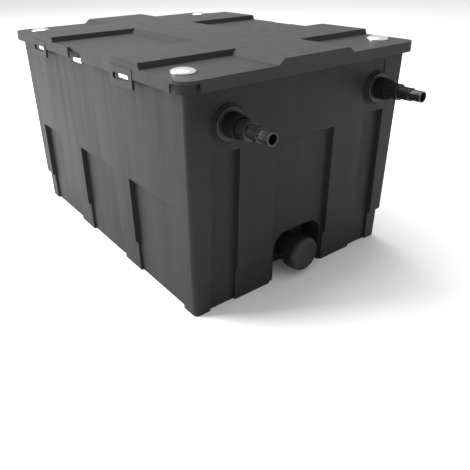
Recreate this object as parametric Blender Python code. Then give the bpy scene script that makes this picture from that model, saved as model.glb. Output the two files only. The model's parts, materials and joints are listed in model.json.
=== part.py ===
"""Box-type flow-through pond filter: tapered tank, lift-off lid, hose ports, drain and filter media.

Metres, +Z up, the origin at the centre of the tank's underside. The short face with the ports and
the drain faces -Y, and the long faces face -X and +X.
"""

import math

import bmesh
import bpy
from mathutils import Matrix, Vector

# Fits
GAP = 0.0003  # between pieces that rest on or seal against each other
SLIP = 0.0005  # radial clearance of pieces that turn or slide in each other

# Tank
TANK_TOP_W = 0.566  # X, at the rim
TANK_TOP_L = 0.768  # Y, at the rim
TANK_LEAN = 0.014  # how far each wall leans outward from the floor to the rim
TANK_BASE_W = TANK_TOP_W - 2 * TANK_LEAN
TANK_BASE_L = TANK_TOP_L - 2 * TANK_LEAN
TANK_WALL = 0.004
TANK_CORNER_R = 0.009
PLINTH_Z = 0.067  # below this the posts and ribs step inward
PLINTH_STEP = 0.0055
PLINTH_SLOPE = 0.006
RIM_FLANGE = 0.008
RIM_FLANGE_T = 0.005

# Lid
LID_SIDE_OVERHANG = 0.015
LID_END_OVERHANG = 0.016
LID_W = TANK_TOP_W + 2 * LID_SIDE_OVERHANG
LID_L = TANK_TOP_L + 2 * LID_END_OVERHANG
LID_LOW_Z = 0.466  # top of the corner and mid-side fields
LID_RISE = 0.011  # the raised spine and cross bands above those fields
LID_WALL = 0.004
LID_CORNER_R = 0.028
LID_SKIRT = 0.0215
RIM_Z = LID_LOW_Z - LID_WALL - GAP

# Corner lugs, quarter-turn knobs and side catches
CORNERS = ((-1, -1), (1, -1), (1, 1), (-1, 1))
LUG_REACH = 0.048
LUG_CLEAR = 0.001  # between a lug and the lid's skirt
LUG_Z0 = LID_LOW_Z - 0.0225
SKIRT_NOTCH = 0.036
KNOB_FROM_SIDE = 0.032  # from the tank's rim to a knob's axis
KNOB_FROM_END = 0.051
KNOB_X = TANK_TOP_W / 2 - KNOB_FROM_SIDE
KNOB_Y = TANK_TOP_L / 2 - KNOB_FROM_END
KNOB_R = 0.023
KNOB_DOME = 0.008
SHANK_R = 0.005
CAM_LONG = 0.026
CAM_WIDE = 0.009
CAM_T = 0.006
WEB_Z = LID_LOW_Z - 0.017
WEB_T = 0.005
TAB_MIDDLE_Y = 0.010
TAB_FROM_END = 0.191
TAB_Y = LID_L / 2 - TAB_FROM_END  # from the middle catch to the front and the back one
TAB_WIDE = 0.086
TAB_PROUD = 0.001
TAB_DROP = 0.020
TAB_CORNER = 0.007
WINDOW_WIDE = 0.060
WINDOW_Z0 = LID_LOW_Z - 0.0295
WINDOW_TALL = 0.0125
WINDOW_CORNER = 0.003
NOTCH_WIDE = 0.066
NOTCH_DEEP = 0.005  # how far the middle notch reaches into the lid's top
CATCH_WIDE = 0.040
CATCH_TALL = 0.0115

# The lid's raised spine and cross bands
SPINE_HALF = 0.084
SPINE_RAMP = 0.013
BAND_WIDE = 0.132
BAND_RAMP = 0.004
BAND_FROM_KNOB = 0.069
BAND_FAR = KNOB_Y - BAND_FROM_KNOB
BAND_NEAR = BAND_FAR - BAND_WIDE

# Hose ports
PORT_FROM_SIDE = 0.088
PORT_BELOW_LID = 0.087
PORT_X = TANK_TOP_W / 2 - PORT_FROM_SIDE
PORT_Z = LID_LOW_Z - PORT_BELOW_LID
PORT_BORE_R = 0.024
PORT_BOSS_R = PORT_BORE_R + 0.015
PORT_BOSS_T = 0.0015
PORT_PAD_T = 0.003
PORT_GASKET_R = PORT_BORE_R + 0.011
PORT_GASKET_T = 0.003
PORT_FLANGE_R = PORT_BORE_R + 0.007
PORT_FLANGE_T = 0.005
PORT_STEM_R = 0.0188
PORT_STEM_LONG = 0.015
PORT_WATERWAY_R = 0.0145
PORT_INSIDE = 0.018
BACKNUT_T = 0.010
BACKNUT_RIM = 0.009  # from a backnut's bore to its corners
ORING_T = 0.0022
TAIL_FLANGE_T = 0.003
TAIL_BORE_R = 0.0088
TAIL_TAPER = 0.0005
TAIL_GROOVE = 0.0014
TAIL_STEPS = ((0.0170, 0.0245), (0.0148, 0.0245), (0.0121, 0.0270))
UNION_WALL = 0.0024
UNION_R = PORT_STEM_R + UNION_WALL
UNION_FLARE = 0.002  # extra radius at the end next to the wall
UNION_CLEAR = 0.0015  # between the tightened nut and the port's flange
UNION_LIP = 0.006

# Recessed wall panels
PANEL_DEPTH = 0.011
PANEL_BEVEL = 0.006
PANEL_DRAFT = 0.0015
SIDE_POST = 0.044
SIDE_RIB = 0.067
SIDE_RIB_Y = 0.120
SIDE_PANEL_TOP = 0.222
END_POST = 0.039
END_RIB_IN = 0.078
END_RIB_OUT = 0.167
PANEL_BELOW_PORT = 0.053
END_PANEL_TOP = PORT_Z - PANEL_BELOW_PORT
END_MIDDLE_TOP = END_PANEL_TOP - 0.010
GROOVE_FROM_PORT = 0.023  # short upright groove beside the outlet port
GROOVE_X = PORT_X + GROOVE_FROM_PORT
GROOVE_WIDE = 0.004
GROOVE_DEEP = 0.002
GROOVE_Z0 = PORT_Z + 0.017
GROOVE_Z1 = PORT_Z + 0.054

# Drain
DRAIN_X = 0.004
DRAIN_Z = 0.0485
DRAIN_ARCH_HALF = 0.0675
DRAIN_ARCH_TOP = 0.108
DRAIN_ARCH_R = 0.036
DRAIN_DEPTH = 0.062
DRAIN_BORE_R = 0.0235
DRAIN_PIPE_R = DRAIN_BORE_R + 0.0055
DRAIN_CAP_WALL = 0.009
DRAIN_CAP_R = DRAIN_PIPE_R + SLIP + DRAIN_CAP_WALL
DRAIN_CAP_LONG = 0.032
DRAIN_CAP_PROUD = 0.0155
DRAIN_CAP_FACE = 0.006
DRAIN_SEAL_T = 0.002
DRAIN_FLANGE_R = DRAIN_PIPE_R + 0.008
DRAIN_FLANGE_T = 0.005
DRAIN_GASKET_T = 0.002
DRAIN_NUT_RIM = 0.0125

# Filter media
PARTITION_T = 0.004
PARTITION_TOP = LID_LOW_Z - 0.046
GUIDE_T = 0.003
RETURN_GAP = 0.110  # passage round the end of the partition
GRID_T = 0.004
GRID_BAR = 0.007
GRID_TOP = LID_LOW_Z - 0.066
FOAM_THICK = 0.100
FOAM_TOP = GRID_TOP - 0.055
MAT_THICK = 0.040
MAT_COUNT = 4
PACK_START_Y = 0.170 - TANK_BASE_L / 2  # front face of the first grid on either side
MEDIA_GAP = 0.001
BASKET_LONG = 0.240
BASKET_TALL = FOAM_TOP - 0.045
BALL_R = 0.026

SEGMENTS = 24


def clear_scene():
    for thing in list(bpy.data.objects):
        bpy.data.objects.remove(thing, do_unlink=True)


def half_w(z):
    return (TANK_BASE_W + (TANK_TOP_W - TANK_BASE_W) * z / RIM_Z) / 2


def half_l(z):
    return (TANK_BASE_L + (TANK_TOP_L - TANK_BASE_L) * z / RIM_Z) / 2


def new_object(name, points, faces):
    mesh = bpy.data.meshes.new(name)
    mesh.from_pydata([tuple(p) for p in points], [], faces)
    shape = bmesh.new()
    shape.from_mesh(mesh)
    bmesh.ops.recalc_face_normals(shape, faces=shape.faces)
    if shape.calc_volume(signed=True) < 0:
        bmesh.ops.reverse_faces(shape, faces=shape.faces)
    shape.to_mesh(mesh)
    shape.free()
    thing = bpy.data.objects.new(name, mesh)
    bpy.context.scene.collection.objects.link(thing)
    return thing


def loft(name, rings):
    """A closed body through rings with equal numbers of points, closed by flat ends."""
    count = len(rings[0])
    points = [p for ring in rings for p in ring]
    faces = [list(range(count)), list(range(len(points) - count, len(points)))]
    for low in range(0, len(points) - count, count):
        for i in range(count):
            j = (i + 1) % count
            faces.append([low + i, low + j, low + count + j, low + count + i])
    return new_object(name, points, faces)


def rounded_ring(half_x, half_y, radius, z, steps=5):
    ring = []
    for quarter, (sx, sy) in enumerate(((1, 1), (-1, 1), (-1, -1), (1, -1))):
        for i in range(steps + 1):
            turn = math.pi / 2 * (quarter + i / steps)
            x = sx * (half_x - radius) + radius * math.cos(turn)
            y = sy * (half_y - radius) + radius * math.sin(turn)
            ring.append((x, y, z))
    return ring


def block(name, x0, x1, y0, y1, z0, z1):
    low = [(x0, y0, z0), (x1, y0, z0), (x1, y1, z0), (x0, y1, z0)]
    return loft(name, [low, [(x, y, z1) for x, y, _ in low]])


def slab(name, outline, axis, low, high):
    """A plate: its outline in the two other axes, its faces at low and high along the axis."""
    rings = [[tuple(p[:axis]) + (level,) + tuple(p[axis:]) for p in outline] for level in (low, high)]
    return loft(name, rings)


def lathe(name, profile, centre, axis, segments=SEGMENTS):
    """Turn a closed profile of (radius, distance along the axis) round the axis."""
    frame = Vector((0, 0, 1)).rotation_difference(Vector(axis)).to_matrix().to_4x4()
    place = Matrix.Translation(centre) @ frame
    points = []
    rows = []
    for radius, along in profile:
        first = len(points)
        turns = 1 if radius == 0 else segments
        for i in range(turns):
            turn = 2 * math.pi * i / segments
            points.append(place @ Vector((radius * math.cos(turn), radius * math.sin(turn), along)))
        rows.append([first + (i % turns) for i in range(segments)])
    faces = []
    for row, after in zip(rows, rows[1:] + rows[:1]):
        for i in range(segments):
            j = (i + 1) % segments
            corners = list(dict.fromkeys((row[i], row[j], after[j], after[i])))
            if len(corners) > 2:
                faces.append(corners)
    return new_object(name, points, faces)


def rod(name, centre, axis, radius, low, high, segments=SEGMENTS):
    """A plain cylinder between two distances along the axis."""
    frame = Vector((0, 0, 1)).rotation_difference(Vector(axis)).to_matrix().to_4x4()
    place = Matrix.Translation(centre) @ frame
    rings = []
    for along in (low, high):
        turns = [2 * math.pi * i / segments for i in range(segments)]
        ring = [(radius * math.cos(turn), radius * math.sin(turn), along) for turn in turns]
        rings.append([tuple(place @ Vector(p)) for p in ring])
    return loft(name, rings)


def bake(thing):
    graph = bpy.context.evaluated_depsgraph_get()
    mesh = bpy.data.meshes.new_from_object(thing.evaluated_get(graph))
    thing.modifiers.clear()
    thing.data = mesh


def combine(thing, tool, operation):
    step = thing.modifiers.new("combine", "BOOLEAN")
    step.operation = operation
    step.solver = "EXACT"
    step.object = tool
    bake(thing)
    bpy.data.objects.remove(tool, do_unlink=True)


def cut(thing, *tools):
    for tool in tools:
        combine(thing, tool, "DIFFERENCE")


def add(thing, *tools):
    for tool in tools:
        combine(thing, tool, "UNION")


def finish(thing, colour, roughness, metallic=0.0):
    material = bpy.data.materials.new(thing.name)
    material.use_nodes = True
    shader = material.node_tree.nodes["Principled BSDF"]
    shader.inputs["Base Color"].default_value = (*colour, 1.0)
    shader.inputs["Roughness"].default_value = roughness
    shader.inputs["Metallic"].default_value = metallic
    thing.data.materials.clear()
    thing.data.materials.append(material)
    thing.data.polygons.foreach_set("use_smooth", [True] * len(thing.data.polygons))
    thing.data.set_sharp_from_angle(angle=math.radians(32))


def panel(axis, side, low, high, top, inset):
    """The hollow of one recessed panel, its floor parallel to the leaning wall."""
    corners = []
    for reach in (-0.03, PANEL_DEPTH):
        share = reach / PANEL_DEPTH
        row = []
        for z, flip in ((-0.03, 1), (top + inset - PANEL_BEVEL * share, -1)):
            ends = (low - inset + PANEL_DRAFT * share, high + inset - PANEL_DRAFT * share)
            face = side * ((half_w(z) if axis == 0 else half_l(z)) - inset - reach)
            row += [(face, u, z) if axis == 0 else (u, face, z) for u in ends[::flip]]
        corners.append(row)
    return loft("panel", corners)


def panels(inset):
    tools = []
    side_end = TANK_BASE_L / 2 - SIDE_POST
    inner = SIDE_RIB_Y - SIDE_RIB / 2
    outer = SIDE_RIB_Y + SIDE_RIB / 2
    for side in (-1, 1):
        for low, high in ((-side_end, -outer), (-inner, inner), (outer, side_end)):
            tools.append(panel(0, side, low, high, SIDE_PANEL_TOP, inset))
        end = TANK_BASE_W / 2 - END_POST
        tools.append(panel(1, side, -end, -END_RIB_OUT, END_PANEL_TOP, inset))
        tools.append(panel(1, side, END_RIB_OUT, end, END_PANEL_TOP, inset))
        tools.append(panel(1, side, -END_RIB_IN, END_RIB_IN, END_MIDDLE_TOP, inset))
    return tools


def drain_arch(inset):
    half = DRAIN_ARCH_HALF + inset
    top = DRAIN_ARCH_TOP + inset
    radius = DRAIN_ARCH_R + inset
    outline = [(DRAIN_X + half, -0.03)]
    for reach, start in ((half - radius, 0.0), (radius - half, math.pi / 2)):
        for i in range(7):
            turn = start + math.pi / 2 * i / 6
            x = DRAIN_X + reach + radius * math.cos(turn)
            outline.append((x, top - radius + radius * math.sin(turn)))
    outline.append((DRAIN_X - half, -0.03))
    return slab("arch", outline, 1, -TANK_TOP_L, arch_back() + inset)


def arch_back():
    return DRAIN_DEPTH - half_l(DRAIN_Z)


def shell_form(name, inset, top):
    """The tank's outside, or with an inset its inside, so the moulded wall keeps one thickness."""
    levels = (
        (inset, PLINTH_STEP),
        (PLINTH_Z + inset, PLINTH_STEP),
        (PLINTH_Z + PLINTH_SLOPE + inset, 0.0),
        (top, 0.0),
    )
    rings = []
    for z, step in levels:
        shrink = step + inset
        rings.append(rounded_ring(half_w(z) - shrink, half_l(z) - shrink, TANK_CORNER_R - inset, z))
    form = loft(name, rings)
    cut(form, *panels(inset), drain_arch(inset))
    return form


def corner_block(sx, sy, reach_x, reach_y, size, z0, z1, radius):
    cx = sx * (reach_x - size / 2)
    cy = sy * (reach_y - size / 2)
    rings = []
    for z in (z0, z1):
        ring = rounded_ring(size / 2, size / 2, radius, z, 4)
        rings.append([(x + cx, y + cy, z) for x, y, _ in ring])
    return loft("corner", rings)


def port_wall_faces():
    """Y of the outside and the inside face that a port's gasket and backnut seal against."""
    outside = -half_l(PORT_Z) - PORT_BOSS_T
    inside = -half_l(PORT_Z) + TANK_WALL + PORT_PAD_T
    return outside, inside


def knob_web(sx, sy):
    """The bracket in a tank corner that a knob's cam turns under, with its slot."""
    wall_x = half_w(WEB_Z) - TANK_WALL / 2
    wall_y = half_l(WEB_Z) - TANK_WALL / 2
    in_x = KNOB_X - 0.024
    in_y = KNOB_Y - 0.030
    corner = 0.008
    outline = [
        (wall_x - corner, wall_y), (in_x, wall_y), (in_x, in_y + corner), (in_x + corner, in_y),
        (wall_x, in_y), (wall_x, wall_y - corner),
    ]
    web = slab("web", [(sx * x, sy * y) for x, y in outline], 2, WEB_Z, WEB_Z + WEB_T)
    slot_x = CAM_WIDE / 2 + 0.001
    slot_y = CAM_LONG / 2 + 0.0015
    x = sx * KNOB_X
    y = sy * KNOB_Y
    low, high = WEB_Z - 0.01, WEB_Z + WEB_T + 0.01
    cut(web, block("slot", x - slot_x, x + slot_x, y - slot_y, y + slot_y, low, high))
    return web


def make_tank():
    tank = shell_form("tank", 0.0, RIM_Z)
    rims = []
    for z in (RIM_Z - RIM_FLANGE_T, RIM_Z):
        radius = TANK_CORNER_R + RIM_FLANGE
        rims.append(rounded_ring(half_w(z) + RIM_FLANGE, half_l(z) + RIM_FLANGE, radius, z))
    add(tank, loft("rim", rims))
    inside_skirt = LID_WALL + LUG_CLEAR
    for sx, sy in CORNERS:
        reach_x = LID_W / 2 - inside_skirt
        reach_y = LID_L / 2 - inside_skirt
        radius = LID_CORNER_R - inside_skirt
        top = RIM_Z - RIM_FLANGE_T / 2
        add(tank, corner_block(sx, sy, reach_x, reach_y, LUG_REACH, LUG_Z0, top, radius))
    outside, inside = port_wall_faces()
    for x in (-PORT_X, PORT_X):
        add(tank, rod("boss", (x, 0, PORT_Z), (0, 1, 0), PORT_BOSS_R, outside, outside + 0.010))
    cut(tank, shell_form("cavity", TANK_WALL, RIM_Z + 0.02))
    for x in (-PORT_X, PORT_X):
        middle = -half_l(PORT_Z) + TANK_WALL / 2
        add(tank, rod("pad", (x, 0, PORT_Z), (0, 1, 0), PORT_BOSS_R, middle, inside))
        cut(tank, rod("bore", (x, 0, PORT_Z), (0, 1, 0), PORT_BORE_R, outside - 0.1, inside + 0.1))
    wall = arch_back()
    drain = (DRAIN_X, 0, DRAIN_Z)
    cut(tank, rod("bore", drain, (0, 1, 0), DRAIN_BORE_R + 0.002, wall - 0.1, wall + 0.1))
    add(tank, *[knob_web(sx, sy) for sx, sy in CORNERS])
    add(tank, *partition_guides())
    low = GROOVE_X - GROOVE_WIDE / 2
    floor = GROOVE_DEEP - half_l((GROOVE_Z0 + GROOVE_Z1) / 2)
    cut(tank, block("groove", low, low + GROOVE_WIDE, floor - 0.1, floor, GROOVE_Z0, GROOVE_Z1))
    finish(tank, (0.035, 0.035, 0.036), 0.55)


def partition_guides():
    """Two ribs on the front wall and two cleats on the floor that hold the partition upright."""
    tools = []
    for side in (-1, 1):
        near = side * (PARTITION_T / 2 + GAP)
        far = side * (PARTITION_T / 2 + GAP + GUIDE_T)
        low, high = min(near, far), max(near, far)
        front = -half_l(0.15) + PANEL_DEPTH + TANK_WALL / 2
        top = END_MIDDLE_TOP - 0.016
        tools.append(block("rib", low, high, front, front + 0.016, DRAIN_ARCH_TOP + 0.002, top))
        tools.append(block("cleat", low, high, -0.100, 0.180, TANK_WALL - 0.001, TANK_WALL + 0.010))
    return tools


def lid_form(name, inset, bottom):
    """The lid's outside, or with an inset its underside: a field of levels joined by ramps."""
    reach_x = LID_W / 2 - inset
    reach_y = LID_L / 2 - inset
    spine = SPINE_HALF - inset
    xs = [spine, spine + SPINE_RAMP, reach_x]
    ys = [
        BAND_NEAR - BAND_RAMP + inset, BAND_NEAR + inset, BAND_FAR - inset,
        BAND_FAR + BAND_RAMP - inset, reach_y,
    ]
    xs = [-x for x in reversed(xs)] + xs
    ys = [-y for y in reversed(ys)] + ys
    points = []
    for y in ys:
        for x in xs:
            raised = abs(x) <= spine + 1e-6 or ys[6] - 1e-6 <= abs(y) <= ys[7] + 1e-6
            points.append((x, y, LID_LOW_Z - inset + (LID_RISE if raised else 0.0)))
    wide = len(xs)
    top = len(points)
    points += [(x, y, bottom) for x, y, _ in points]
    faces = []
    for j in range(len(ys) - 1):
        for i in range(wide - 1):
            a = j * wide + i
            faces.append([a, a + 1, a + wide + 1, a + wide])
            faces.append([top + a, top + a + 1, top + a + wide + 1, top + a + wide])
    edge = list(range(wide)) + [j * wide + wide - 1 for j in range(1, len(ys))]
    edge += [(len(ys) - 1) * wide + i for i in range(wide - 2, -1, -1)]
    edge += [j * wide for j in range(len(ys) - 2, 0, -1)]
    for a, b in zip(edge, edge[1:] + edge[:1]):
        faces.append([a, b, top + b, top + a])
    form = new_object(name, points, faces)
    radius = LID_CORNER_R - inset
    rings = [rounded_ring(reach_x, reach_y, radius, z, 6) for z in (bottom - 0.01, LID_LOW_Z + 0.1)]
    combine(form, loft("outline", rings), "INTERSECT")
    return form


def tab_plate(side, y, bottom):
    """A tab hanging from the lid's skirt, its lower corners cut off."""
    half = TAB_WIDE / 2
    top = LID_LOW_Z - 0.004
    outline = [
        (y - half, top), (y - half, bottom + TAB_CORNER / 3), (y - half + TAB_CORNER / 3, bottom),
        (y + half - TAB_CORNER, bottom), (y + half, bottom + TAB_CORNER), (y + half, top),
    ]
    low, high = sorted((side * (LID_W / 2 - LID_WALL), side * (LID_W / 2 + TAB_PROUD)))
    return slab("tab", outline, 0, low, high)


def tab_window(side, y):
    half = WINDOW_WIDE / 2
    low_z = WINDOW_Z0
    high_z = WINDOW_Z0 + WINDOW_TALL
    cut_off = WINDOW_CORNER
    outline = [
        (y - half, low_z + cut_off), (y - half + cut_off, low_z), (y + half - cut_off, low_z),
        (y + half, low_z + cut_off), (y + half, high_z - cut_off), (y + half - cut_off, high_z),
        (y - half + cut_off, high_z), (y - half, high_z - cut_off),
    ]
    low, high = sorted((side * (LID_W / 2 - 0.02), side * (LID_W / 2 + 0.02)))
    return slab("window", outline, 0, low, high)


def make_lid():
    skirt_z = LID_LOW_Z - LID_SKIRT
    below = LID_LOW_Z - 0.1
    above = LID_LOW_Z + 0.05
    lid = lid_form("lid", 0.0, skirt_z)
    for side in (-1, 1):
        for y in (TAB_MIDDLE_Y - TAB_Y, TAB_MIDDLE_Y + TAB_Y):
            add(lid, tab_plate(side, y, skirt_z - TAB_DROP))
    cut(lid, lid_form("underside", LID_WALL, skirt_z - 0.03))
    for side in (-1, 1):
        for y in (TAB_MIDDLE_Y - TAB_Y, TAB_MIDDLE_Y + TAB_Y):
            cut(lid, tab_window(side, y))
        low, high = sorted((side * (LID_W / 2 - NOTCH_DEEP), side * (LID_W / 2 + 0.02)))
        start = TAB_MIDDLE_Y - NOTCH_WIDE / 2
        cut(lid, block("notch", low, high, start, start + NOTCH_WIDE, below, above))
    for sx, sy in CORNERS:
        spot = (sx * KNOB_X, sy * KNOB_Y, 0)
        cut(lid, rod("hole", spot, (0, 0, 1), SHANK_R + SLIP, below, above, 20))
    past = 0.02
    size = SKIRT_NOTCH + past
    top = LID_LOW_Z - 0.006
    cut(lid, corner_block(-1, -1, LID_W / 2 + past, LID_L / 2 + past, size, below, top, 0.001))
    finish(lid, (0.045, 0.046, 0.046), 0.5)


def make_knob(number, sx, sy):
    """A domed cap with a shank through the lid and a cross cam, drawn in its released position."""
    base = LID_LOW_Z + GAP
    profile = [(0, WEB_Z - 0.012), (SHANK_R, WEB_Z - 0.012), (SHANK_R, base), (KNOB_R, base)]
    profile.append((KNOB_R, base + 0.0015))
    for i in range(1, 5):
        turn = math.pi / 2 * i / 5
        profile.append((KNOB_R * math.cos(turn), base + 0.0015 + (KNOB_DOME - 0.0015) * math.sin(turn)))
    profile.append((0, base + KNOB_DOME))
    x = sx * KNOB_X
    y = sy * KNOB_Y
    knob = lathe(f"lid_knob_{number}", profile, (x, y, 0), (0, 0, 1), 20)
    top = WEB_Z - 0.001
    half = CAM_LONG / 2
    cam = block("cam", x - CAM_WIDE / 2, x + CAM_WIDE / 2, y - half, y + half, top - CAM_T, top)
    add(knob, cam)
    finish(knob, (0.8, 0.8, 0.8), 0.12, 1.0)


def make_catch(name, side, y):
    """A bright catch on the tank wall, seen through a window of the lid's skirt."""
    z = WINDOW_Z0 + WINDOW_TALL / 2
    back = half_w(z) + GAP
    nose = LID_W / 2 - LID_WALL - GAP - 0.0005
    radius = CATCH_TALL / 2 - 0.001
    rings = []
    for x, shrink in ((back, 0.0), (nose - 0.002, 0.0), (nose, 0.002)):
        ring = rounded_ring(CATCH_WIDE / 2 - shrink, CATCH_TALL / 2 - shrink, radius - shrink, 0.0, 4)
        rings.append([(side * x, y + u, z + v) for u, v, _ in ring])
    finish(loft(name, rings), (0.8, 0.8, 0.8), 0.15, 1.0)


def make_port(prefix, x):
    outside, inside = port_wall_faces()
    spot = (x, 0, PORT_Z)
    axis = (0, 1, 0)
    at = outside - GAP
    ring = [
        (PORT_BORE_R + 0.001, at), (PORT_GASKET_R, at),
        (PORT_GASKET_R, at - PORT_GASKET_T), (PORT_BORE_R + 0.001, at - PORT_GASKET_T),
    ]
    finish(lathe(f"{prefix}_gasket", ring, spot, axis), (0.012, 0.012, 0.012), 0.8)
    face = at - PORT_GASKET_T - GAP
    front = face - PORT_FLANGE_T
    tip = front - PORT_STEM_LONG
    thread = PORT_BORE_R - SLIP
    body = [
        (PORT_WATERWAY_R, inside + PORT_INSIDE), (thread, inside + PORT_INSIDE), (thread, face),
        (PORT_FLANGE_R, face), (PORT_FLANGE_R, front + 0.0012), (PORT_FLANGE_R - 0.0012, front),
        (PORT_STEM_R, front), (PORT_STEM_R, tip), (PORT_WATERWAY_R, tip),
    ]
    finish(lathe(f"{prefix}_bulkhead", body, spot, axis), (0.02, 0.02, 0.02), 0.45)
    make_backnut(f"{prefix}_backnut", spot, inside + GAP, PORT_BORE_R, BACKNUT_RIM)
    seal = tip - GAP
    make_oring(f"{prefix}_oring", spot, seal, (PORT_WATERWAY_R + PORT_STEM_R) / 2)
    base = seal - ORING_T - GAP
    make_tail(f"{prefix}_hose_tail", spot, base)
    make_union(f"{prefix}_union_nut", spot, base - TAIL_FLANGE_T - GAP, front - UNION_CLEAR)


def make_backnut(name, spot, at, bore, rim):
    """A six-sided nut on the inner thread."""
    nut = rod(name, spot, (0, 1, 0), bore + rim, at, at + BACKNUT_T, 6)
    cut(nut, rod("hole", spot, (0, 1, 0), bore + SLIP, at - 0.01, at + 0.02))
    finish(nut, (0.02, 0.02, 0.02), 0.5)


def make_oring(name, spot, at, radius):
    profile = []
    for i in range(6):
        turn = 2 * math.pi * i / 6
        spread = ORING_T / 2 / math.cos(math.pi / 6)
        profile.append((radius + spread * math.cos(turn), at - ORING_T / 2 + spread * math.sin(turn)))
    finish(lathe(name, profile, spot, (0, 1, 0)), (0.01, 0.01, 0.01), 0.6)


def make_tail(name, spot, at):
    """A stepped hose tail: a flange under the union nut, then a barbed step for each hose size."""
    neck = TAIL_STEPS[0][0]
    flange = PORT_STEM_R - 0.0003
    back = at - TAIL_FLANGE_T
    profile = [(flange, at), (flange, back), (neck, back)]
    y = at - TAIL_FLANGE_T - UNION_LIP
    for radius, long in TAIL_STEPS:
        end = radius - TAIL_TAPER
        profile.append((radius, y - 0.001))
        profile.append((end, y - long + TAIL_GROOVE))
        profile.append((end - TAIL_GROOVE, y - long + TAIL_GROOVE / 2))
        y -= long
        profile.append((end - TAIL_GROOVE, y))
    profile.append((TAIL_BORE_R, y))
    profile.append((TAIL_BORE_R, at - 0.020))
    profile.append((PORT_WATERWAY_R - 0.002, at))
    finish(lathe(name, profile, spot, (0, 1, 0)), (0.015, 0.015, 0.016), 0.22)


def make_union(name, spot, at, back):
    """The collar that pulls the hose tail onto the port: a lip over the tail's flange, then a skirt."""
    front = at - UNION_LIP
    profile = [
        (TAIL_STEPS[0][0] + SLIP, at), (PORT_STEM_R + SLIP, at), (PORT_STEM_R + SLIP, back),
        (UNION_R + UNION_FLARE - 0.001, back), (UNION_R + UNION_FLARE, back - 0.001),
        (UNION_R, front + 0.002),
        (UNION_R - 0.002, front), (TAIL_STEPS[0][0] + SLIP, front),
    ]
    finish(lathe(name, profile, spot, (0, 1, 0)), (0.01, 0.01, 0.01), 0.75)


def make_drain():
    spot = (DRAIN_X, 0, DRAIN_Z)
    axis = (0, 1, 0)
    wall = arch_back()
    bore = DRAIN_BORE_R + 0.002
    at = wall - GAP
    ring = [
        (bore + 0.001, at), (DRAIN_FLANGE_R, at),
        (DRAIN_FLANGE_R, at - DRAIN_GASKET_T), (bore + 0.001, at - DRAIN_GASKET_T),
    ]
    finish(lathe("drain_gasket", ring, spot, axis), (0.012, 0.012, 0.012), 0.8)
    face = at - DRAIN_GASKET_T - GAP
    front = -half_l(DRAIN_Z) - DRAIN_CAP_PROUD
    seal = front + DRAIN_CAP_FACE + GAP
    tip = seal + DRAIN_SEAL_T + GAP
    inner = wall + TANK_WALL + 0.016
    body = [
        (DRAIN_BORE_R - 0.004, inner), (bore - SLIP, inner), (bore - SLIP, face), (DRAIN_FLANGE_R, face),
        (DRAIN_FLANGE_R, face - DRAIN_FLANGE_T), (DRAIN_PIPE_R, face - DRAIN_FLANGE_T),
        (DRAIN_PIPE_R, tip), (DRAIN_BORE_R - 0.004, tip),
    ]
    finish(lathe("drain_spigot", body, spot, axis), (0.02, 0.02, 0.02), 0.45)
    make_backnut("drain_backnut", spot, wall + TANK_WALL + GAP, bore, DRAIN_NUT_RIM)
    washer = [
        (DRAIN_BORE_R - 0.003, seal), (DRAIN_PIPE_R, seal),
        (DRAIN_PIPE_R, seal + DRAIN_SEAL_T), (DRAIN_BORE_R - 0.003, seal + DRAIN_SEAL_T),
    ]
    finish(lathe("drain_seal", washer, spot, axis), (0.01, 0.01, 0.01), 0.7)
    make_drain_cap(front)


def make_drain_cap(front):
    back = front + DRAIN_CAP_LONG
    inside = DRAIN_PIPE_R + SLIP
    floor = front + DRAIN_CAP_FACE
    profile = [
        (0, front), (DRAIN_CAP_R - 0.012, front), (DRAIN_CAP_R - 0.010, front + 0.001),
        (DRAIN_CAP_R - 0.004, front + 0.001), (DRAIN_CAP_R, front + 0.005), (DRAIN_CAP_R, back),
        (inside, back), (inside, floor), (0, floor),
    ]
    cap = lathe("drain_cap", profile, (DRAIN_X, 0, DRAIN_Z), (0, 1, 0), 36)
    finish(cap, (0.015, 0.015, 0.015), 0.4)


def make_partition():
    """The lengthwise divider that sends the water out along one side and back along the other."""
    front = -half_l(0.0) + PANEL_DEPTH + TANK_WALL + MEDIA_GAP
    lean = (TANK_TOP_L - TANK_BASE_L) / 2 / RIM_Z
    step_z = END_MIDDLE_TOP + TANK_WALL + 0.010
    sill_z = DRAIN_ARCH_TOP + TANK_WALL + MEDIA_GAP
    base_y = arch_back() + TANK_WALL + 0.022
    floor_z = TANK_WALL + MEDIA_GAP
    back_y = half_l(0.0) - TANK_WALL - RETURN_GAP
    outline = [
        (base_y, floor_z), (back_y, floor_z), (back_y, PARTITION_TOP),
        (front - PANEL_DEPTH - lean * PARTITION_TOP, PARTITION_TOP),
        (front - PANEL_DEPTH - lean * step_z, step_z), (front - lean * step_z, step_z),
        (front - lean * sill_z, sill_z), (base_y, sill_z),
    ]
    plate = slab("partition", outline, 0, -PARTITION_T / 2, PARTITION_T / 2)
    finish(plate, (0.03, 0.03, 0.03), 0.5)


def media_span():
    """The nearest and farthest distance from the middle plane that media may reach at the floor."""
    near = PARTITION_T / 2 + GAP + GUIDE_T + MEDIA_GAP
    far = TANK_BASE_W / 2 - PANEL_DEPTH - TANK_WALL - MEDIA_GAP
    return near, far


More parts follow.
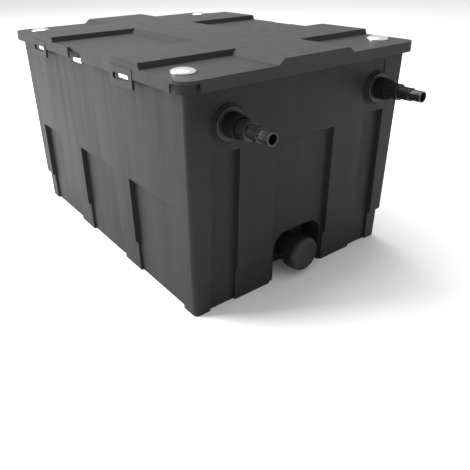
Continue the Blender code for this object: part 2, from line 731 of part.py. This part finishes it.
def lattice(name, xs, zs, y, thick):
    """A plate of square bars: every second cell between the given lines is open."""
    wide = len(xs)
    points = [(x, y + dy, z) for dy in (0.0, thick) for z in zs for x in xs]
    layer = wide * len(zs)
    solid = {
        (i, j): not (i % 2 == 1 and j % 2 == 1)
        for i in range(wide - 1) for j in range(len(zs) - 1)
    }
    faces = []
    for (i, j), filled in solid.items():
        if not filled:
            continue
        a = j * wide + i
        corners = [a, a + 1, a + wide + 1, a + wide]
        faces.append(corners)
        faces.append([layer + c for c in reversed(corners)])
        sides = (((i, j - 1), a, a + 1), ((i + 1, j), a + 1, a + wide + 1),
                 ((i, j + 1), a + wide + 1, a + wide), ((i - 1, j), a + wide, a))
        for cell, p, q in sides:
            if not solid.get(cell, False):
                faces.append([q, p, layer + p, layer + q])
    return new_object(name, points, faces)


def lines(low, high, cells, bar):
    """Alternating bar and opening edges from low to high."""
    opening = (high - low - bar * (cells + 1)) / cells
    found = []
    for i in range(cells + 1):
        start = low + i * (bar + opening)
        found += [start, start + bar]
    return found


def make_grid(name, side, y):
    near, far = media_span()
    xs = lines(near, far, 4, GRID_BAR)
    zs = lines(TANK_WALL + MEDIA_GAP, GRID_TOP, 5, GRID_BAR)
    if side < 0:
        xs = [-x for x in reversed(xs)]
    finish(lattice(name, xs, zs, y, GRID_T), (0.04, 0.04, 0.04), 0.5)


def make_pad(name, side, y, thick, colour):
    """A filter pad standing on the floor between the partition and the tank wall."""
    near, far = media_span()
    low, high = sorted((side * near, side * far))
    pad = block(name, low, high, y, y + thick, TANK_WALL + MEDIA_GAP, FOAM_TOP)
    finish(pad, colour, 0.95)


def make_inlet_media():
    make_grid("inlet_grid_front", -1, PACK_START_Y)
    y = PACK_START_Y + GRID_T + MEDIA_GAP
    shades = (
        ("coarse", (0.03, 0.10, 0.30)), ("medium", (0.03, 0.03, 0.035)),
        ("fine", (0.35, 0.30, 0.22)), ("finest", (0.45, 0.42, 0.34)),
    )
    for label, colour in shades:
        make_pad(f"foam_{label}", -1, y, FOAM_THICK, colour)
        y += FOAM_THICK + MEDIA_GAP
    make_grid("inlet_grid_back", -1, y)


def make_outlet_media():
    make_grid("outlet_grid_front", 1, PACK_START_Y)
    y = PACK_START_Y + GRID_T + MEDIA_GAP
    make_basket(y)
    y += BASKET_LONG + MEDIA_GAP
    for number in range(1, MAT_COUNT + 1):
        make_pad(f"filter_mat_{number}", 1, y, MAT_THICK, (0.05, 0.20, 0.12))
        y += MAT_THICK + MEDIA_GAP
    make_grid("outlet_grid_back", 1, y)


def make_basket(y):
    """An open slotted basket with the loose biological media."""
    near, far = media_span()
    wall = 0.003
    z0 = TANK_WALL + MEDIA_GAP
    basket = block("media_basket", near, far, y, y + BASKET_LONG, z0, z0 + BASKET_TALL)
    top = z0 + BASKET_TALL
    back = y + BASKET_LONG
    hollow = block("hollow", near + wall, far - wall, y + wall, back - wall, z0 + wall, top + 0.05)
    cut(basket, hollow)
    slots = lines(near + 0.004, far - 0.004, 6, 0.012)
    for low, high in zip(slots[1::2], slots[2::2]):
        cut(basket, block("slot", low, high, y - 0.01, back + 0.01, z0 + 0.02, top - 0.03))
    finish(basket, (0.03, 0.03, 0.03), 0.5)
    make_balls(near + wall, far - wall, y + wall, z0 + wall, BASKET_LONG - 2 * wall)


def make_balls(near, far, y, z, long):
    columns = 4
    pitch = (far - near) / columns
    number = 0
    for row in range(2):
        for column in range(columns):
            number += 1
            x = near + pitch * (column + 0.5)
            centre = (x, y + long * (row + 0.5) / 2, z + BALL_R + GAP)
            make_ball(f"bio_ball_{number}", centre)


def make_ball(name, centre):
    """A ball of stacked discs: one turned body with deep grooves between the discs."""
    profile = [(0, -BALL_R)]
    discs = 3
    for i in range(discs):
        low = -BALL_R + 2 * BALL_R * (i + 0.15) / discs
        high = -BALL_R + 2 * BALL_R * (i + 0.85) / discs
        for z in (low, high):
            profile.append((math.sqrt(BALL_R ** 2 - z ** 2), z))
        if i < discs - 1:
            profile.append((0.006, high))
            profile.append((0.006, high + 2 * BALL_R * 0.3 / discs))
    profile.append((0, BALL_R))
    finish(lathe(name, profile, centre, (0, 0, 1), 10), (0.02, 0.05, 0.16), 0.5)


clear_scene()
make_tank()
make_lid()
for knob_number, (knob_x, knob_y) in enumerate(CORNERS, 1):
    make_knob(knob_number, knob_x, knob_y)
for catch_label, catch_side in (("left", -1), ("right", 1)):
    for catch_place, catch_step in (("front", -1), ("middle", 0), ("back", 1)):
        catch_y = TAB_MIDDLE_Y + catch_step * TAB_Y
        make_catch(f"catch_{catch_label}_{catch_place}", catch_side, catch_y)
make_port("inlet", -PORT_X)
make_port("outlet", PORT_X)
make_drain()
make_partition()
make_inlet_media()
make_outlet_media()
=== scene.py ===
"""Looks of a box-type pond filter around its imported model: tank, lid, locks, ports, drain and media."""

import json
import math

import bmesh
import bpy
import numpy as np
from mathutils import Matrix, Vector, noise

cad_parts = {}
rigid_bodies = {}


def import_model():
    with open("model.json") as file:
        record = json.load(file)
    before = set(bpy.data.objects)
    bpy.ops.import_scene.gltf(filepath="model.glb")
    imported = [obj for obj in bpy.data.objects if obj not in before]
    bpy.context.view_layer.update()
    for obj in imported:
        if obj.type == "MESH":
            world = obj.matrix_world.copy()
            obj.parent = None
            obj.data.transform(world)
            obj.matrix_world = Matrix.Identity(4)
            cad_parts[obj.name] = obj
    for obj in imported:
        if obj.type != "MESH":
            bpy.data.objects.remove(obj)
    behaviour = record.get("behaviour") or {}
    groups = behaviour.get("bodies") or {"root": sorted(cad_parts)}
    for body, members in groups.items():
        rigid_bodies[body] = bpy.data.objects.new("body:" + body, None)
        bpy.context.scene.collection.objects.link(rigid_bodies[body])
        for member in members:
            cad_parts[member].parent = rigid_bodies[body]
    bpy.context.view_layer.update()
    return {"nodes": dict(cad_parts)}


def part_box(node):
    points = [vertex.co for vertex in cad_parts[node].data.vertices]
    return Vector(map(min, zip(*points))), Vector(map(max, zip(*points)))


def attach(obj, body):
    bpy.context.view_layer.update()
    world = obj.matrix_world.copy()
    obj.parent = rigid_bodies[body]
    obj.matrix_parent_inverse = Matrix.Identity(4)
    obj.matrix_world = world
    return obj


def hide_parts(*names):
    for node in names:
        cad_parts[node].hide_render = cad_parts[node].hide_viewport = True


for leftover in list(bpy.data.objects):
    bpy.data.objects.remove(leftover, do_unlink=True)
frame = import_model()
nodes = frame["nodes"]

# ---------------------------------------------------------------- tank
# The tank is one rotationally moulded polyethylene box with walls of one thickness. Its posts and
# ribs are softly rounded, and the skin has a fine grain with faint flow marks running down it.


def dressed(node, name, bevel, steps=2, sharp=32):
    """A merged copy of a CAD node with rounded edges, standing for that node."""
    shape = bmesh.new()
    shape.from_mesh(nodes[node].data)
    bmesh.ops.remove_doubles(shape, verts=shape.verts, dist=1e-5)
    bmesh.ops.dissolve_limit(
        shape, angle_limit=math.radians(0.6), verts=shape.verts, edges=shape.edges
    )
    mesh = bpy.data.meshes.new(name)
    shape.to_mesh(mesh)
    shape.free()
    piece = bpy.data.objects.new(name, mesh)
    bpy.context.scene.collection.objects.link(piece)
    if bevel:
        rounding = piece.modifiers.new("rounding", "BEVEL")
        rounding.width = bevel
        rounding.segments = steps
        rounding.limit_method = "ANGLE"
        rounding.angle_limit = math.radians(sharp)
        rounding.use_clamp_overlap = True
        rounding.harden_normals = False
        settled(piece)
    soften(piece, sharp)
    flatten_shading(piece)
    return piece


def settled(piece):
    """Apply the piece's modifiers."""
    graph = bpy.context.evaluated_depsgraph_get()
    mesh = bpy.data.meshes.new_from_object(piece.evaluated_get(graph))
    piece.modifiers.clear()
    piece.data = mesh


def soften(piece, sharp=32):
    """Shade smooth, keeping the edges sharper than an angle."""
    piece.data.polygons.foreach_set("use_smooth", [True] * len(piece.data.polygons))
    piece.data.set_sharp_from_angle(angle=math.radians(sharp))


def flatten_shading(piece):
    """Weigh the normals by face size, so that broad faces shade flat between their rounded edges."""
    weighing = piece.modifiers.new("weighing", "WEIGHTED_NORMAL")
    weighing.keep_sharp = True
    weighing.weight = 100
    settled(piece)


def coated(piece, material):
    piece.data.materials.clear()
    piece.data.materials.append(material)


class Finish:
    """A node material with a Principled shader, built up by small steps."""

    def __init__(self, name, colour, roughness, metallic=0.0):
        self.material = bpy.data.materials.new(name)
        self.material.use_nodes = True
        self.tree = self.material.node_tree
        self.shader = self.tree.nodes["Principled BSDF"]
        self.colour = colour
        self.set("Base Color", (*colour, 1.0))
        self.set("Roughness", roughness)
        self.set("Metallic", metallic)
        self.place = self.tree.nodes.new("ShaderNodeTexCoord")
        self.height = None

    def set(self, socket, value):
        self.shader.inputs[socket].default_value = value

    def node(self, kind, **values):
        made = self.tree.nodes.new(kind)
        for key, value in values.items():
            setattr(made, key, value)
        return made

    def link(self, out, into):
        self.tree.links.new(out, into)

    def scaled(self, stretch):
        mapping = self.node("ShaderNodeMapping")
        mapping.inputs["Scale"].default_value = stretch
        self.link(self.place.outputs["Object"], mapping.inputs["Vector"])
        return mapping.outputs["Vector"]

    def noise(self, scale, detail=3.0, rough=0.5, stretch=(1, 1, 1)):
        made = self.node("ShaderNodeTexNoise")
        made.inputs["Scale"].default_value = scale
        made.inputs["Detail"].default_value = detail
        made.inputs["Roughness"].default_value = rough
        self.link(self.scaled(stretch), made.inputs["Vector"])
        return made.outputs["Fac"]

    def ramp(self, value, low, high, start, end):
        made = self.node("ShaderNodeMapRange")
        for socket, number in zip(("From Min", "From Max", "To Min", "To Max"), (low, high, start, end)):
            made.inputs[socket].default_value = number
        self.link(value, made.inputs["Value"])
        return made.outputs["Result"]

    def tint(self, value, dark, light):
        made = self.node("ShaderNodeMix", data_type="RGBA")
        made.inputs[6].default_value = (*dark, 1.0)
        made.inputs[7].default_value = (*light, 1.0)
        self.link(value, made.inputs[0])
        self.link(made.outputs[2], self.shader.inputs["Base Color"])

    def sheen_of(self, value):
        self.link(value, self.shader.inputs["Roughness"])

    def bump(self, value, strength, distance):
        made = self.node("ShaderNodeBump")
        made.inputs["Strength"].default_value = strength
        made.inputs["Distance"].default_value = distance
        self.link(value, made.inputs["Height"])
        if self.height:
            self.link(self.height, made.inputs["Normal"])
        self.height = made.outputs["Normal"]
        self.link(self.height, self.shader.inputs["Normal"])


def moulded_plastic(name, dark, light, rough_low, rough_high):
    finish = Finish(name, dark, rough_low)
    cloud = finish.noise(3.0, 4.0, 0.6)
    streak = finish.noise(38.0, 3.0, 0.55, (1, 1, 0.06))
    finish.tint(finish.ramp(cloud, 0.35, 0.68, 0.0, 1.0), dark, light)
    finish.sheen_of(finish.ramp(streak, 0.35, 0.7, rough_low, rough_high))
    finish.bump(streak, 0.03, 0.0006)
    finish.bump(finish.noise(420.0, 2.0, 0.6), 0.18, 0.0004)
    finish.set("Specular IOR Level", 0.14)
    return finish


tank = dressed("tank", "tank_shell", 0.0016)
tank_dark, tank_light = (0.016, 0.015, 0.016), (0.021, 0.020, 0.021)
coated(tank, moulded_plastic("tank_polyethylene", tank_dark, tank_light, 0.46, 0.54).material)
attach(tank, "tank_body")
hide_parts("tank")

# ---------------------------------------------------------------- lid
# The lid is a sheet moulding of the same plastic with a raised spine and two cross bands that
# stiffen it. Its skirt drops over the tank's rim and carries the window tabs.

lid = dressed("lid", "lid_shell", 0.0022, 3)
lid_dark, lid_light = (0.023, 0.024, 0.023), (0.029, 0.030, 0.029)
coated(lid, moulded_plastic("lid_polyethylene", lid_dark, lid_light, 0.44, 0.52).material)
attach(lid, "lid_body")
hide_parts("lid")

# ---------------------------------------------------------------- lid knobs
# Each knob is a die-cast cap with a polished nickel skin. Its shank goes through the lid to a cross
# cam that turns under the tank's corner bracket.


def bright_metal(name, colour, rough):
    finish = Finish(name, colour, rough, 1.0)
    smear = finish.noise(60.0, 3.0, 0.6)
    finish.sheen_of(finish.ramp(smear, 0.3, 0.75, rough, rough + 0.10))
    finish.bump(finish.noise(900.0, 1.0), 0.03, 0.0002)
    return finish


nickel = bright_metal("polished_nickel", (0.86, 0.86, 0.87), 0.10)
for number in range(1, 5):
    knob = dressed(f"lid_knob_{number}", f"knob_{number}", 0.0004, 2, 40)
    coated(knob, nickel.material)
    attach(knob, f"knob_{number}")
    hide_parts(f"lid_knob_{number}")

# ---------------------------------------------------------------- side catches
# The catches are small pressed pieces of bright steel fixed to the tank wall behind the windows of
# the lid's skirt.

steel = bright_metal("pressed_steel", (0.80, 0.80, 0.81), 0.18)
for side in ("left", "right"):
    for place in ("front", "middle", "back"):
        catch = dressed(f"catch_{side}_{place}", f"catch_plate_{side}_{place}", 0.0006, 2, 30)
        coated(catch, steel.material)
        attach(catch, "tank_body")
        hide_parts(f"catch_{side}_{place}")

# ---------------------------------------------------------------- hose ports
# Each port is a bulkhead fitting clamped through the tank wall between a rubber gasket and an inner
# nut. A matt union nut holds the glossy hose tail, turned in three steps for three hose sizes.


def plain_plastic(name, colour, rough, grain, gloss=0.25):
    finish = Finish(name, colour, rough)
    wear = finish.noise(90.0, 3.0, 0.6)
    finish.sheen_of(finish.ramp(wear, 0.3, 0.7, rough - 0.05, rough + 0.07))
    finish.bump(finish.noise(grain, 2.0), 0.04, 0.0002)
    finish.set("Specular IOR Level", gloss)
    return finish


fitting = plain_plastic("satin_fitting", (0.020, 0.020, 0.021), 0.42, 700.0)
collar = plain_plastic("matt_collar", (0.004, 0.004, 0.004), 0.72, 500.0, 0.12)
glossy = plain_plastic("glossy_tail", (0.010, 0.010, 0.011), 0.26, 900.0, 0.42)
rubber = plain_plastic("black_rubber", (0.012, 0.012, 0.012), 0.80, 400.0)

tail_flange_r, tail_flange_t, collar_lip = 0.0185, 0.003, 0.006
tail_steps = ((0.0170, 0.0249), (0.0138, 0.0259), (0.0116, 0.0241))
bead_proud, bead_long = 0.0004, 0.002
tail_bore_r, tail_mouth_r = 0.0088, 0.0150


def turned(name, profile, x, z, steps=72):
    """A body of revolution about a line along Y, from a closed outline of (radius, y) points."""
    shape = bmesh.new()
    ring = [shape.verts.new((x + radius, y, z)) for radius, y in profile]
    edges = [shape.edges.new((a, b)) for a, b in zip(ring, ring[1:] + ring[:1])]
    bmesh.ops.spin(
        shape, geom=ring + edges, cent=(x, 0, z), axis=(0, 1, 0), angle=math.tau, steps=steps, use_merge=True
    )
    bmesh.ops.remove_doubles(shape, verts=shape.verts, dist=1e-6)
    bmesh.ops.recalc_face_normals(shape, faces=shape.faces)
    mesh = bpy.data.meshes.new(name)
    shape.to_mesh(mesh)
    shape.free()
    piece = bpy.data.objects.new(name, mesh)
    bpy.context.scene.collection.objects.link(piece)
    soften(piece, 30)
    return piece


def stepped_tail(name, node):
    """A tail for three hose sizes: each step is a cylinder that ends in a small bead."""
    low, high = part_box(node)
    at = high[1]
    first = tail_steps[0][0] - bead_proud
    y = at - tail_flange_t - collar_lip
    profile = [(tail_flange_r, at), (tail_flange_r, at - tail_flange_t), (first, at - tail_flange_t)]
    for radius, long in tail_steps:
        body = radius - bead_proud
        bead = y - long + bead_long
        profile += [(body, y - 0.0005), (body, bead + 0.001), (radius, bead), (radius, y - long + 0.0006)]
        y -= long
        profile.append((body, y))
    profile += [(tail_bore_r, y), (tail_bore_r, at - 0.020), (tail_mouth_r, at)]
    return turned(name, profile, (low[0] + high[0]) / 2, (low[2] + high[2]) / 2)


for port in ("inlet", "outlet"):
    fittings = (
        ("gasket", rubber, 0.0003, "tank_body", "seal_rubber"),
        ("bulkhead", fitting, 0.0004, "tank_body", "thread_plastic"),
        ("backnut", fitting, 0.0008, "tank_body", "thread_plastic"),
        ("oring", rubber, 0.0, f"{port}_tail", "seal_rubber"),
        ("hose_tail", glossy, 0.0003, f"{port}_tail", "fitting_plastic"),
        ("union_nut", collar, 0.0005, f"{port}_nut", "collar_plastic"),
    )
    for part, finish, bevel, body, slot in fittings:
        if part == "hose_tail":
            piece = stepped_tail(f"{port}_port_{part}", f"{port}_{part}")
        else:
            piece = dressed(f"{port}_{part}", f"{port}_port_{part}", bevel)
        coated(piece, finish.material)
        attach(piece, body)
        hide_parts(f"{port}_{part}")

# ---------------------------------------------------------------- drain
# The drain is a short threaded pipe in the arched recess, shut by a wide screw cap with grip ribs
# round its side and a flat rubber washer inside.

grip_ribs, rib_wide, rib_deep = 48, 0.0016, 0.0010
cap_face, pipe_clear_r = 0.006, 0.0293


def rib_tree(material):
    """A node tree that sets a ring of grip ribs round a cap whose axis runs along Y."""
    tree = bpy.data.node_groups.new("grip_ribs", "GeometryNodeTree")
    tree.interface.new_socket("Geometry", in_out="INPUT", socket_type="NodeSocketGeometry")
    sockets = {
        "Ribs": "NodeSocketInt", "Radius": "NodeSocketFloat", "Rib Size": "NodeSocketVector",
        "Centre": "NodeSocketVector",
    }
    keys = {
        label: tree.interface.new_socket(label, in_out="INPUT", socket_type=kind).identifier
        for label, kind in sockets.items()
    }
    tree.interface.new_socket("Geometry", in_out="OUTPUT", socket_type="NodeSocketGeometry")
    given, result = tree.nodes.new("NodeGroupInput"), tree.nodes.new("NodeGroupOutput")
    circle = tree.nodes.new("GeometryNodeMeshCircle")
    rib = tree.nodes.new("GeometryNodeMeshCube")
    place = tree.nodes.new("GeometryNodeInputPosition")
    turn = tree.nodes.new("FunctionNodeAlignEulerToVector")
    copies = tree.nodes.new("GeometryNodeInstanceOnPoints")
    stand = tree.nodes.new("GeometryNodeTransform")
    stand.inputs["Rotation"].default_value = (math.pi / 2, 0, 0)
    join, real = tree.nodes.new("GeometryNodeJoinGeometry"), tree.nodes.new("GeometryNodeRealizeInstances")
    paint = tree.nodes.new("GeometryNodeSetMaterial")
    paint.inputs["Material"].default_value = material
    for out, into in (
        (given.outputs["Ribs"], circle.inputs["Vertices"]),
        (given.outputs["Radius"], circle.inputs["Radius"]),
        (given.outputs["Rib Size"], rib.inputs["Size"]), (place.outputs[0], turn.inputs["Vector"]),
        (circle.outputs[0], copies.inputs["Points"]), (rib.outputs[0], copies.inputs["Instance"]),
        (turn.outputs[0], copies.inputs["Rotation"]), (copies.outputs[0], stand.inputs["Geometry"]),
        (given.outputs["Centre"], stand.inputs["Translation"]), (given.outputs["Geometry"], join.inputs[0]),
        (stand.outputs[0], join.inputs[0]), (join.outputs[0], real.inputs[0]),
        (real.outputs[0], paint.inputs["Geometry"]), (paint.outputs[0], result.inputs[0]),
    ):
        tree.links.new(out, into)
    return tree, keys


def ribbed_cap(name, node, material):
    """The screw cap: a cup with a dished, bevelled face and short ribs round its side."""
    low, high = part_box(node)
    x, z = (low[0] + high[0]) / 2, (low[2] + high[2]) / 2
    front, back, outer = low[1], high[1], (high[0] - low[0]) / 2
    side = outer - rib_deep
    profile = [
        (0, front + 0.001), (side - 0.011, front + 0.001), (side - 0.0095, front + 0.0002),
        (side - 0.004, front + 0.0002), (side - 0.001, front + 0.0028), (side, front + 0.0055),
        (side, back - 0.0004), (side - 0.0004, back), (pipe_clear_r, back),
        (pipe_clear_r, front + cap_face), (0, front + cap_face),
    ]
    piece = turned(name, profile, x, z, 96)
    tree, keys = rib_tree(material)
    ribs = piece.modifiers.new("ribs", "NODES")
    ribs.node_group = tree
    ribs[keys["Ribs"]] = grip_ribs
    ribs[keys["Radius"]] = side
    ribs[keys["Rib Size"]] = (rib_deep * 1.6, rib_wide, back - front - 0.011)
    ribs[keys["Centre"]] = (x, (front + back) / 2 + 0.003, z)
    settled(piece)
    soften(piece, 30)
    return piece


cap_plastic = plain_plastic("cap_plastic", (0.014, 0.014, 0.014), 0.38, 500.0)
for part, finish, bevel, body, slot in (
    ("gasket", rubber, 0.0003, "tank_body", "seal_rubber"),
    ("spigot", fitting, 0.0004, "tank_body", "thread_plastic"),
    ("backnut", fitting, 0.0008, "tank_body", "thread_plastic"),
    ("seal", rubber, 0.0003, "drain_seal_body", "seal_rubber"),
    ("cap", cap_plastic, 0.0006, "drain_cap_body", "fitting_plastic"),
):
    if part == "cap":
        piece = ribbed_cap("drain_outlet_cap", "drain_cap", finish.material)
    else:
        piece = dressed(f"drain_{part}", f"drain_outlet_{part}", bevel)
    coated(piece, finish.material)
    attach(piece, body)
    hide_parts(f"drain_{part}")

# ---------------------------------------------------------------- partition, grids and basket
# Flat black polypropylene mouldings stand in the tank: the divider, the slotted grids that hold the
# pads upright, and the open basket for the loose media.

insert = plain_plastic("insert_plastic", (0.030, 0.030, 0.031), 0.5, 450.0)
for node in (
    "partition", "inlet_grid_front", "inlet_grid_back",
    "outlet_grid_front", "outlet_grid_back", "media_basket",
):
    piece = dressed(node, f"{node}_moulding", 0.0006)
    coated(piece, insert.material)
    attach(piece, "tank_body")
    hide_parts(node)

# ---------------------------------------------------------------- foam pads and fibre mats
# The pads are cut from open-cell polyether foam, coarse to fine along the flow. The mats are springy
# bonded fibre. Both have soft, slightly swollen faces and worn cut edges.


def pad(node, name, coarse, amount, pore_shade_and_skin_colours, rough, pores):
    """A cut block whose faces crown a little and whose skin is broken by pores, with painted shade darkening
    each pore.
    """
    low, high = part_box(node)
    middle = (low + high) / 2
    size = high - low
    shape = bmesh.new()
    bmesh.ops.create_cube(shape, size=1.0)
    cuts = [max(2, int(length / coarse)) for length in size]
    for axis, count in enumerate(cuts):
        edges = [e for e in shape.edges if abs((e.verts[0].co - e.verts[1].co).normalized()[axis]) > 0.99]
        bmesh.ops.subdivide_edges(shape, edges=edges, cuts=count, use_grid_fill=True)
    inset = 0.0025
    for v in shape.verts:
        unit = v.co * 2
        half = size / 2 - Vector((inset, inset, inset))
        crown = 1 - 0.012 * (abs(unit.x) ** 6 + abs(unit.z) ** 6)
        at = Vector((unit.x * half.x, unit.y * half.y * crown, unit.z * half.z))
        seed = (middle + at) * pores
        push = noise.fractal(seed, 1.0, 2.0, 2) * amount
        edge = max(0.0, sum(abs(c) > 0.985 for c in unit) - 1) * 0.0012
        outward = Vector([math.copysign(1, c) if abs(c) > 0.999 else 0 for c in unit])
        if outward.length:
            at += outward.normalized() * (min(push, inset - 0.0004) - edge)
        v.co = middle + at
    bmesh.ops.recalc_face_normals(shape, faces=shape.faces)
    mesh = bpy.data.meshes.new(name)
    shape.to_mesh(mesh)
    shape.free()
    piece = bpy.data.objects.new(name, mesh)
    bpy.context.scene.collection.objects.link(piece)
    soften(piece, 60)
    finish = Finish(name + "_skin", pore_shade_and_skin_colours[0], rough)
    # The pores carry painted shade: the skin's colour darkens towards each pore's centre, where shade falls.
    # The same pattern also dents the pores with a bump.
    pores_and_pore_shade = finish.node("ShaderNodeTexVoronoi", feature="F1")
    pores_and_pore_shade.inputs["Scale"].default_value = pores * 2.2
    finish.link(finish.scaled((1, 1, 1)), pores_and_pore_shade.inputs["Vector"])
    finish.tint(finish.ramp(pores_and_pore_shade.outputs["Distance"], 0.1, 0.75, 0.0, 1.0), *pore_shade_and_skin_colours)
    finish.bump(pores_and_pore_shade.outputs["Distance"], 0.9, 0.0016)
    finish.bump(finish.noise(pores * 3, 3.0), 0.5, 0.0008)
    coated(piece, finish.material)
    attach(piece, "tank_body")
    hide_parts(node)
    return piece


# In each colour pair the first colour is painted shade deep in the pores and the second is the skin's own
# colour.
for node, pore_shade_and_skin_colours, pores, slot in (
    ("foam_coarse", ((0.004, 0.020, 0.075), (0.020, 0.085, 0.250)), 150.0, "foam_coarse_blue"),
    ("foam_medium", ((0.005, 0.005, 0.006), (0.030, 0.030, 0.033)), 220.0, "foam_medium_black"),
    ("foam_fine", ((0.10, 0.080, 0.050), (0.36, 0.30, 0.20)), 300.0, "foam_fine_tan"),
    ("foam_finest", ((0.22, 0.20, 0.15), (0.52, 0.48, 0.38)), 380.0, "foam_fine_tan"),
):
    foam = pad(node, f"{node}_pad", 0.006, 0.0016, pore_shade_and_skin_colours, 0.95, pores)
# The darker green is painted shade in the mats' pores and the lighter green is the fibre's own colour.
mat_pore_shade_and_green = ((0.006, 0.035, 0.018), (0.030, 0.150, 0.080))
for number in range(1, 5):
    mat = pad(f"filter_mat_{number}", f"fibre_mat_{number}", 0.006, 0.0020, mat_pore_shade_and_green, 0.85, 260.0)

# ---------------------------------------------------------------- bio balls
# The balls are moulded polypropylene cages that give bacteria a large surface. They lie loose on the
# basket's floor.

ball_plastic = plain_plastic("ball_polypropylene", (0.010, 0.030, 0.110), 0.35, 600.0)
for number in range(1, 9):
    ball = dressed(f"bio_ball_{number}", f"media_ball_{number}", 0.0004)
    coated(ball, ball_plastic.material)
    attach(ball, "tank_body")
    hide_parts(f"bio_ball_{number}")

# ---------------------------------------------------------------- floor, light and camera
# A plain white studio floor, a large soft key from the back left and a white room. The camera stands
# at the front left corner, a little above the lid.

floor_mesh = bpy.data.meshes.new("floor")
reach, level = 30, -0.0005
corners = [(-reach, -reach, level), (reach, -reach, level), (reach, reach, level), (-reach, reach, level)]
floor_mesh.from_pydata(corners, [], [(0, 1, 2, 3)])
floor = bpy.data.objects.new("floor", floor_mesh)
bpy.context.scene.collection.objects.link(floor)
paper = Finish("white_floor", (0.93, 0.93, 0.93), 0.9)
coated(floor, paper.material)


def softbox(name, place, aim, size, power, tall=None):
    lamp = bpy.data.lights.new(name, "AREA")
    lamp.energy = power
    lamp.shape = "RECTANGLE"
    lamp.size = size
    lamp.size_y = tall or size
    light = bpy.data.objects.new(name, lamp)
    light.location = place
    light.rotation_euler = (Vector(aim) - Vector(place)).to_track_quat("-Z", "Y").to_euler()
    bpy.context.scene.collection.objects.link(light)


softbox("key", (-2.6, 1.9, 2.6), (0, 0, 0.2), 2.2, 270)
softbox("top", (0.0, 1.2, 3.4), (0, 0, 0), 3.0, 135)
world = bpy.data.worlds.new("studio")
bpy.context.scene.world = world
world.use_nodes = True
world.node_tree.nodes["Background"].inputs["Color"].default_value = (1, 1, 1, 1)
world.node_tree.nodes["Background"].inputs["Strength"].default_value = 0.75
bpy.context.scene.view_settings.view_transform = "Standard"

yaw, pitch, roll = math.radians(35.57), math.radians(21.16), math.radians(-1.30)
ahead = Vector((math.sin(yaw) * math.cos(pitch), math.cos(yaw) * math.cos(pitch), -math.sin(pitch)))
right = Vector((math.cos(yaw), -math.sin(yaw), 0))
up = right.cross(ahead)
right, up = math.cos(roll) * right + math.sin(roll) * up, math.cos(roll) * up - math.sin(roll) * right
lens = bpy.data.cameras.new("camera")
lens.sensor_width = 36
lens.lens = 41.24
lens.shift_x = 0.0574
lens.shift_y = -0.1638
camera = bpy.data.objects.new("camera", lens)
turned_to = Matrix((right, up, -ahead)).transposed().to_4x4()
camera.matrix_world = Matrix.Translation((-0.7315, -1.0709, 0.6537)) @ turned_to
bpy.context.scene.collection.objects.link(camera)
bpy.context.scene.camera = camera
